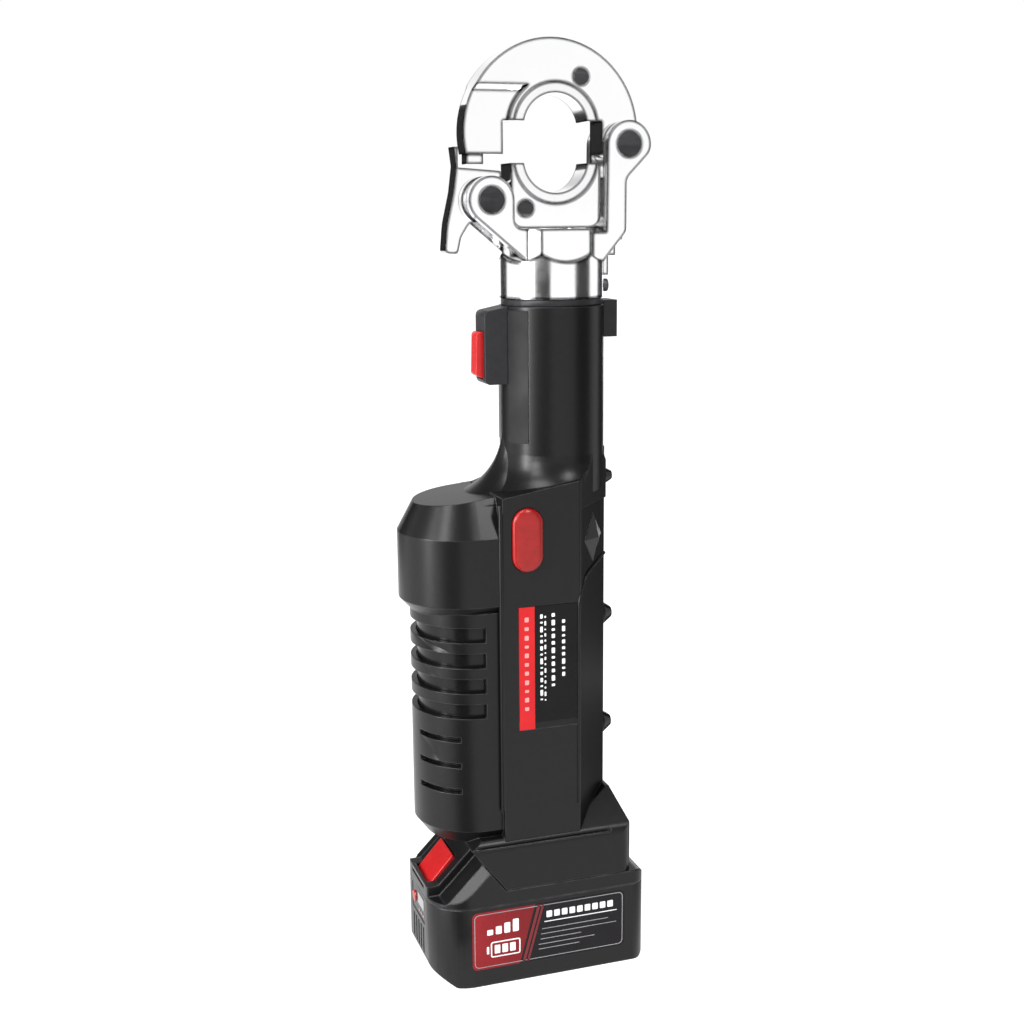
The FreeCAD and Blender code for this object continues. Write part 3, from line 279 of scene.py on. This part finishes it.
FINISHES = [
    (BLACK, "front_shell rear_shell"),
    (GLOSS_BLACK, "side_bumpers side_cap vent_liner"),
    (DARK_GREY, "trigger_housing lamp_housing swivel_ring screw_posts terminal_block trigger_switch "
                "cooling_fan"),
    (PACK_BLACK, "pack_lower_case pack_upper_case gauge_panel"),
    (RUBBER, "grip_inlays"),
    (RED, "trigger pack_release_button"),
    (DEEP_RED, "gauge_key release_button"),
    (STRIPE_RED, "label_stripe"),
    (PLATE_BLACK, "label_plate"),
    (LABEL_RED, "pack_label_red"),
    (LABEL_BLACK, "pack_label_plate"),
    (LENS, "lamp_lens"),
    (CHROME, "upper_jaw die_holder latch_lever"),
    (TURNED, "head_yoke"),
    (DIE_STEEL, "upper_die lower_die"),
    (PIN_STEEL, "latch_pin jaw_hinge_pin pin_caps head_lock_screw upper_die_catch lower_die_catch"),
    (STEEL, "ram_piston hydraulic_barrel pump_piston gear_case sun_gear planet_gears eccentric_shaft "
            "crank_bearing motor_can"),
    (SPRING, "pump_spring return_spring latch_spring shell_screws pack_screws"),
    (ALUMINIUM, "pump_block"),
    (BRASS, "relief_valve terminal_blades"),
    (COPPER, "motor_rotor"),
    (SEAL, "piston_seal board_components"),
    (BLADDER, "oil_bladder"),
    (BOARD, "control_board"),
    (CELL, "cells"),
]

# Edge rounding of the CAD nodes: width in mm and number of steps.
ROUNDINGS = [
    (0.6, 3, "pack_lower_case trigger_housing lamp_housing"),
    (0.8, 3, "trigger pack_release_button"),
    (0.3, 2, "pin_caps latch_pin jaw_hinge_pin side_cap side_bumpers"),
    (0.2, 2, "upper_die_catch lower_die_catch head_lock_screw gauge_key swivel_ring"),
]


def dress_nodes():
    """Gives every CAD node its material, and some of them rounded edges."""
    for material, names in FINISHES:
        for name in names.split():
            mesh = NODES[name].data
            mesh.materials.clear()
            mesh.materials.append(material)
    for width, steps, names in ROUNDINGS:
        for name in names.split():
            weld = NODES[name].modifiers.new("Weld", "WELD")
            weld.merge_threshold = 0.000002
            bevel = NODES[name].modifiers.new("Edges", "BEVEL")
            bevel.width = width * MM
            bevel.segments = steps
            bevel.limit_method = "ANGLE"
            bevel.angle_limit = math.radians(32)
            bevel.harden_normals = True


# ---- Mesh helpers, in millimetres ----

def finish_piece(name, work, material, body):
    """Turns bmesh work in millimetres into a piece that rides on a body."""
    bmesh.ops.recalc_face_normals(work, faces=work.faces)
    bmesh.ops.scale(work, vec=(MM, MM, MM), verts=work.verts)
    mesh = bpy.data.meshes.new(name)
    work.to_mesh(mesh)
    work.free()
    mesh.materials.append(material)
    mesh.shade_smooth()
    mesh.set_sharp_from_angle(angle=math.radians(35))
    piece = bpy.data.objects.new(name, mesh)
    bpy.context.scene.collection.objects.link(piece)
    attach(piece, body)
    return piece


def rounded(left, right, low, high, radius, steps=5):
    """Points round a rectangle with rounded corners, across and up."""
    points = []
    corners = [(right, high, 0), (left, high, 90), (left, low, 180), (right, low, 270)]
    for across, up, start in corners:
        centre_x = across - math.copysign(radius, across - (left + right) / 2)
        centre_z = up - math.copysign(radius, up - (low + high) / 2)
        for step in range(steps + 1):
            turn = math.radians(start + 90 * step / steps)
            points.append((centre_x + radius * math.cos(turn), centre_z + radius * math.sin(turn)))
    return points


def front_plate(work, outline, back, front, edge=0.0):
    """A thin plate facing -Y from an outline in X and Z, with an optional slanted edge."""
    middle_x = sum(point[0] for point in outline) / len(outline)
    middle_z = sum(point[1] for point in outline) / len(outline)
    rings = []
    for level, shrink in ((back, 0.0), (front, edge)):
        ring = []
        for x, z in outline:
            away = Vector((x - middle_x, z - middle_z))
            reach = max(away.length, 1e-6)
            keep = (reach - shrink) / reach
            ring.append(work.verts.new((middle_x + away.x * keep, level, middle_z + away.y * keep)))
        rings.append(ring)
    count = len(outline)
    for index in range(count):
        after = (index + 1) % count
        work.faces.new((rings[0][index], rings[0][after], rings[1][after], rings[1][index]))
    work.faces.new(rings[1])
    work.faces.new(list(reversed(rings[0])))


def front_frame(work, outer, inner, back, front):
    """A flat frame facing -Y between two outlines with the same number of points."""
    rings = [
        [work.verts.new((x, level, z)) for x, z in outline]
        for outline, level in ((outer, back), (outer, front), (inner, front), (inner, back))
    ]
    count = len(outer)
    for first, second in zip(rings, rings[1:] + rings[:1]):
        for index in range(count):
            after = (index + 1) % count
            work.faces.new((first[index], first[after], second[after], second[index]))


def bead(work, path, radius, sides):
    """A round bar along a path of points, closed by small pointed ends."""
    points = [Vector(point) for point in path]
    rings = []
    side = None
    for index, point in enumerate(points):
        ahead = points[min(index + 1, len(points) - 1)] - points[max(index - 1, 0)]
        ahead.normalize()
        if side is None:
            side = ahead.orthogonal().normalized()
        side = (side - ahead * side.dot(ahead)).normalized()
        other = ahead.cross(side)
        ring = []
        for step in range(sides):
            turn = 2 * math.pi * step / sides
            offset = side * math.cos(turn) * radius + other * math.sin(turn) * radius
            ring.append(work.verts.new(point + offset))
        rings.append(ring)
    for first, second in zip(rings, rings[1:]):
        for step in range(sides):
            after = (step + 1) % sides
            work.faces.new((first[step], first[after], second[after], second[step]))
    for ring, point, inward in ((rings[0], points[0], points[1]), (rings[-1], points[-1], points[-2])):
        tip = work.verts.new(point + (point - inward).normalized() * radius * 0.8)
        for step in range(sides):
            work.faces.new((ring[step], ring[(step + 1) % sides], tip))


def curve_through(corners, radius, steps=6):
    """A path through corner points whose turns are rounded."""
    points = [Vector(corner) for corner in corners]
    path = [points[0]]
    for before, corner, after in zip(points, points[1:], points[2:]):
        start = corner + (before - corner).normalized() * radius
        end = corner + (after - corner).normalized() * radius
        for step in range(steps + 1):
            part = step / steps
            path.append(start.lerp(corner, part).lerp(corner.lerp(end, part), part))
    path.append(points[-1])
    return path


# ---- Printed marks ----

# Levels along Y of the two printed faces, along X of the pack's end, and how far a mark
# is let into its face and stands out of it.
LABEL_FACE = -36.1
PACK_FACE = -37.62
END_FACE = -79.86
SUNK = 0.02
PROUD = 0.05


def body_marks():
    """Generic bars where the body's plates carry print: none of them is a letter."""
    work = bmesh.new()
    columns = [
        (-19.0, 1.5, 207, 160, (2.4, 1.1, 3.2, 0.9, 1.9)),
        (-16.9, 1.0, 206, 158, (1.2, 2.6, 0.9, 1.9)),
        (-12.4, 1.9, 207, 166, (2.0, 3.1, 1.4, 2.4)),
        (-6.6, 1.8, 203, 172, (1.9, 3.0, 1.3, 2.2, 1.6)),
    ]
    for centre, width, top, bottom, lengths in columns:
        level = top
        turn = 0
        while level > bottom:
            length = lengths[turn % len(lengths)]
            outline = rounded(centre - width / 2, centre + width / 2, level - length, level, 0.45, 3)
            front_plate(work, outline, LABEL_FACE + SUNK, LABEL_FACE - PROUD, PROUD)
            level -= length + 1.6
            turn += 1
    finish_piece("body_label_marks", work, WHITE_INK, "housing")
    work = bmesh.new()
    level = 206
    for length in (2.6, 2.0, 2.6, 1.6, 2.6, 2.0, 2.2, 2.6, 1.6, 2.6, 2.0):
        outline = rounded(-28.4, -26.1, level - length, level, 0.5, 3)
        front_plate(work, outline, LABEL_FACE + SUNK, LABEL_FACE - PROUD, PROUD)
        level -= length + 2.7
    finish_piece("body_stripe_marks", work, PINK_INK, "housing")


def pack_marks():
    """The pack label's border, slanted bands, charge picture and plain lines."""
    back, front = PACK_FACE + SUNK, PACK_FACE - PROUD
    work = bmesh.new()
    front_frame(
        work, rounded(-58.8, 27.8, 11.1, 42.4, 2.6), rounded(-58.4, 27.4, 11.5, 42.0, 2.2), back, front
    )
    finish_piece("pack_label_border", work, GREY_INK, "pack")
    work = bmesh.new()
    for offset, width in ((1.1, 1.7), (3.7, 1.3)):
        low, high = -32.6 + offset, -23.6 + offset
        outline = [(low, 10.6), (low + width, 10.6), (high + width, 42.9), (high, 42.9)]
        front_plate(work, outline, back, front)
    finish_piece("pack_label_bands", work, BAND_RED, "pack")
    work = bmesh.new()
    battery_outer = rounded(-49.6, -32.6, 16.2, 25.4, 1.2)
    battery_inner = rounded(-48.9, -33.3, 16.9, 24.7, 0.6)
    front_frame(work, battery_outer, battery_inner, back, front)
    front_plate(work, rounded(-51.9, -50.6, 18.6, 23.0, 0.4, 3), back, front)
    for index in range(3):
        left = -47.4 + 4.4 * index
        front_plate(work, rounded(left, left + 3.2, 18.3, 23.3, 0.4, 3), back, front)
    for index, height in enumerate((3.2, 4.6, 6.0, 7.4)):
        left = -51.6 + 4.9 * index
        front_plate(work, rounded(left, left + 3.4, 29.6, 29.6 + height, 0.5, 3), back, front)
    finish_piece("pack_label_picture", work, WHITE_INK, "pack")
    work = bmesh.new()
    for index in range(9):
        left = -17.4 + 4.5 * index
        front_plate(work, rounded(left, left + 3.3, 34.6, 38.4, 0.5, 3), back, front)
    front_plate(work, rounded(-18.6, 24.2, 32.0, 32.5, 0.2, 2), back, front)
    finish_piece("pack_label_title", work, WHITE_INK, "pack")
    work = bmesh.new()
    lines = [(-20, 19, 28.2), (-20.5, 24, 25.2), (-21, 3, 22.2), (-22, 11, 19.2), (-22, 2, 16.4)]
    for left, right, level in lines:
        front_plate(work, rounded(left, right, level - 0.2, level + 0.2, 0.15, 2), back, front)
    finish_piece("pack_label_lines", work, GREY_INK, "pack")


# ---- Raised details ----

def housing_details():
    """Ridges beside the side panels and corners, the foot's rim and the grip's ribs."""
    work = bmesh.new()
    for side in (-1, 1):
        path = [(-40.4, side * 33.9, 99), (-40.4, side * 34.7, 102), (-40.4, side * 34.7, 262),
                (-40.4, side * 33.9, 266)]
        bead(work, path, 1.5, 14)
    finish_piece("panel_ridges", work, BLACK, "housing")
    work = bmesh.new()
    for side in (-1, 1):
        corners = [(-57.6, side * 24, 79.1), (-57.6, side * 36.8, 79.1), (19.5, side * 36.8, 79.1)]
        bead(work, curve_through(corners, 5), 0.75, 10)
    finish_piece("foot_rim", work, BLACK, "housing")
    work = bmesh.new()
    for side in (-1, 1):
        corners = [(2.3, side * 36.1, 98), (2.3, side * 36.1, 213), (8.2, side * 30.9, 225),
                   (20, side * 18.2, 229), (26.6, side * 10.6, 231)]
        bead(work, curve_through(corners, 4.5), 0.9, 12)
    finish_piece("corner_ridges", work, BLACK, "housing")
    work = bmesh.new()
    rib_circle = 27.55
    for side in (-1, 1):
        for angle in (50, 56.5, 63, 69.5):
            turn = math.radians(angle)
            x = -rib_circle * math.sin(turn)
            y = side * rib_circle * math.cos(turn)
            bead(work, [(x, y, 298), (x, y, 361)], 0.55, 8)
    finish_piece("grip_ribs", work, RUBBER, "housing")


def oval_button():
    """The release button with a slanted rim and a faintly crowned face."""
    low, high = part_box("release_button")
    left, right, bottom, top = low.x / MM, high.x / MM, low.z / MM, high.z / MM
    front, back = low.y / MM, high.y / MM
    half = (right - left) / 2
    work = bmesh.new()
    rings = []
    profile = [(0, back), (0, front + 1.3), (0.25, front + 0.9), (1.5, front + 0.12), (1.9, front),
               (3.6, front - 0.04), (5.6, front - 0.07)]
    for inset, level in profile:
        corner = half - inset - 0.001
        outline = rounded(left + inset, right - inset, bottom + inset, top - inset, corner, 14)
        rings.append([work.verts.new((x, level, z)) for x, z in outline])
    for first, second in zip(rings, rings[1:]):
        for index in range(len(first)):
            after = (index + 1) % len(first)
            work.faces.new((first[index], first[after], second[after], second[index]))
    work.faces.new(rings[-1])
    work.faces.new(list(reversed(rings[0])))
    button = finish_piece("release_button_cap", work, DEEP_RED, "release_button")
    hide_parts("release_button")


def gauge_details():
    """Charge lamps and a small window on the pack's end."""
    work = bmesh.new()
    for index in range(3):
        middle = -9.6 + 4.2 * index
        outline = rounded(middle - 0.9, middle + 0.9, 31.4, 33.0, 0.7, 4)
        end_plate(work, outline, END_FACE, END_FACE - 2 * PROUD)
    finish_piece("gauge_lamps", work, LED_RED, "pack")
    work = bmesh.new()
    end_plate(work, rounded(-11, 1.6, 35.6, 42.0, 1.0, 4), END_FACE, END_FACE - 0.08)
    finish_piece("gauge_window", work, SCREEN, "pack")


def end_plate(work, outline, back, front):
    """A thin plate facing -X from an outline in Y and Z."""
    rings = [[work.verts.new((level, y, z)) for y, z in outline] for level in (back, front)]
    count = len(outline)
    for index in range(count):
        after = (index + 1) % count
        work.faces.new((rings[0][index], rings[0][after], rings[1][after], rings[1][index]))
    work.faces.new(rings[1])
    work.faces.new(list(reversed(rings[0])))


# ---- Studio, in metres ----

FLOOR_RADIUS = 60
FLOOR_SIDES = 64
FLOOR_GLOW = 1.08


def stage_mesh(name, corners, material, hidden=False):
    """A flat stage item; a hidden one shows only in reflections."""
    mesh = bpy.data.meshes.new(name)
    mesh.from_pydata(corners, [], [tuple(range(len(corners)))])
    mesh.materials.append(material)
    item = bpy.data.objects.new(name, mesh)
    bpy.context.scene.collection.objects.link(item)
    if hidden:
        item.visible_camera = False
        item.visible_shadow = False
        item.visible_diffuse = False


def card(name, azimuth, distance, half_width, low, high, material):
    """An upright board that only reflections see, at an azimuth round the axis from -Y to +X."""
    turn = math.radians(azimuth)
    middle = Vector((math.sin(turn), -math.cos(turn), 0)) * distance
    along = Vector((math.cos(turn), math.sin(turn), 0)) * half_width
    corners = [middle - along + Vector((0, 0, low)), middle + along + Vector((0, 0, low)),
               middle + along + Vector((0, 0, high)), middle - along + Vector((0, 0, high))]
    stage_mesh(name, corners, material, True)


def floor_card(name, azimuth, half_angle, near, far, material):
    """A wedge-shaped board flat on the floor that only reflections see."""
    corners = []
    sides = [(-half_angle, near), (-half_angle, far), (half_angle, far), (half_angle, near)]
    for turn, reach in sides:
        angle = math.radians(azimuth + turn)
        corners.append(Vector((math.sin(angle) * reach, -math.cos(angle) * reach, MM)))
    stage_mesh(name, corners, material, True)


def area_light(name, place, aim, size, power):
    """A rectangular lamp at a place, turned towards another."""
    light = bpy.data.lights.new(name, "AREA")
    light.shape = "RECTANGLE"
    light.size, light.size_y = size
    light.energy = power
    item = bpy.data.objects.new(name, light)
    bpy.context.scene.collection.objects.link(item)
    item.location = place
    item.rotation_euler = (Vector(aim) - Vector(place)).to_track_quat("-Z", "Y").to_euler()


def studio():
    """A glowing white floor, black boards for the reflections, six lamps and a plain sky."""
    floor = printed("studio_floor", (0.2, 0.2, 0.2), (0.21, 0.21, 0.21), 0.7, spec=0.05)
    floor_surface = floor.node_tree.nodes["Principled BSDF"]
    floor_surface.inputs["Emission Color"].default_value = (1, 1, 1, 1)
    floor_surface.inputs["Emission Strength"].default_value = FLOOR_GLOW
    ring = []
    for step in range(FLOOR_SIDES):
        turn = 2 * math.pi * step / FLOOR_SIDES
        ring.append((FLOOR_RADIUS * math.cos(turn), FLOOR_RADIUS * math.sin(turn), 0))
    stage_mesh("studio_floor", ring, floor)
    black_card = rubber("black_card", (0.004, 0.004, 0.004), (0.006, 0.006, 0.006), 0.9)
    card("card_left", -38, 0.9, 0.27, 0.0, 0.45, black_card)
    card("card_right", 54, 0.9, 0.32, 0.0, 0.6, black_card)
    card("card_back_left", -150, 1.0, 0.3, 0.0, 0.7, black_card)
    card("card_back_right", 119, 0.5, 0.16, 0.0, 0.6, black_card)
    floor_card("floor_card_left", -40, 14, 0.12, 0.9, black_card)
    floor_card("floor_card_right", 119, 19, 0.12, 0.5, black_card)
    area_light("key", (-1.27, -0.3, 0.5), (0, 0, 0.2), (0.2, 0.95), 22)
    area_light("left_front", (-1.19, -0.83, 0.83), (-0.05, 0, 0.05), (0.25, 0.5), 10)
    area_light("front", (0.5, -1.3, 1.75), (0, 0, 0.3), (0.3, 0.6), 16)
    area_light("shoulders", (-0.95, -0.65, 1.25), (-0.04, 0, 0.15), (0.3, 0.3), 6)
    area_light("rim", (0.9, 1.1, 0.7), (0, 0, 0.2), (0.4, 1.2), 3)
    area_light("above", (-0.5, -0.3, 1.8), (0, 0, 0.2), (0.6, 0.6), 14)
    world = bpy.data.worlds.new("studio_world")
    bpy.context.scene.world = world
    world.use_nodes = True
    tree = world.node_tree
    background = tree.nodes["Background"]
    place = tree.nodes.new("ShaderNodeTexCoord")
    split = tree.nodes.new("ShaderNodeSeparateXYZ")
    band = tree.nodes.new("ShaderNodeValToRGB")
    tree.links.new(place.outputs["Generated"], split.inputs["Vector"])
    tree.links.new(split.outputs["Z"], band.inputs["Fac"])
    band.color_ramp.elements[0].position = 0.28
    band.color_ramp.elements[0].color = (1, 1, 1, 1)
    band.color_ramp.elements[1].position = 0.5
    band.color_ramp.elements[1].color = (0.1, 0.1, 0.1, 1)
    tree.links.new(band.outputs["Color"], background.inputs["Color"])
    background.inputs["Strength"].default_value = 1.0


def camera():
    """Stands 0.763 m from the axis, 20 degrees to the left of the front, 0.41 m up."""
    distance, height, azimuth = 0.763, 0.4125, math.radians(-20)
    yaw, pitch, roll = math.radians(1.627), math.radians(11.765), math.radians(-0.5)
    ahead = Vector((-math.sin(azimuth), math.cos(azimuth), 0))
    ahead.rotate(Matrix.Rotation(yaw, 3, "Z"))
    forward = Vector((ahead.x * math.cos(pitch), ahead.y * math.cos(pitch), -math.sin(pitch)))
    level = forward.cross(Vector((0, 0, 1))).normalized()
    above = level.cross(forward)
    right = level * math.cos(roll) + above * math.sin(roll)
    up = above * math.cos(roll) - level * math.sin(roll)
    data = bpy.data.cameras.new("camera")
    data.lens = 50.13
    data.sensor_width = 36
    data.clip_start = 0.05
    item = bpy.data.objects.new("camera", data)
    bpy.context.scene.collection.objects.link(item)
    turn = Matrix((right, up, -forward)).transposed().to_4x4()
    place = Vector((math.sin(azimuth) * distance, -math.cos(azimuth) * distance, height))
    item.matrix_world = Matrix.Translation(place) @ turn
    bpy.context.scene.camera = item


dress_nodes()
body_marks()
pack_marks()
housing_details()
oval_button()
gauge_details()
studio()
camera()
bpy.context.scene.view_settings.view_transform = "Standard"
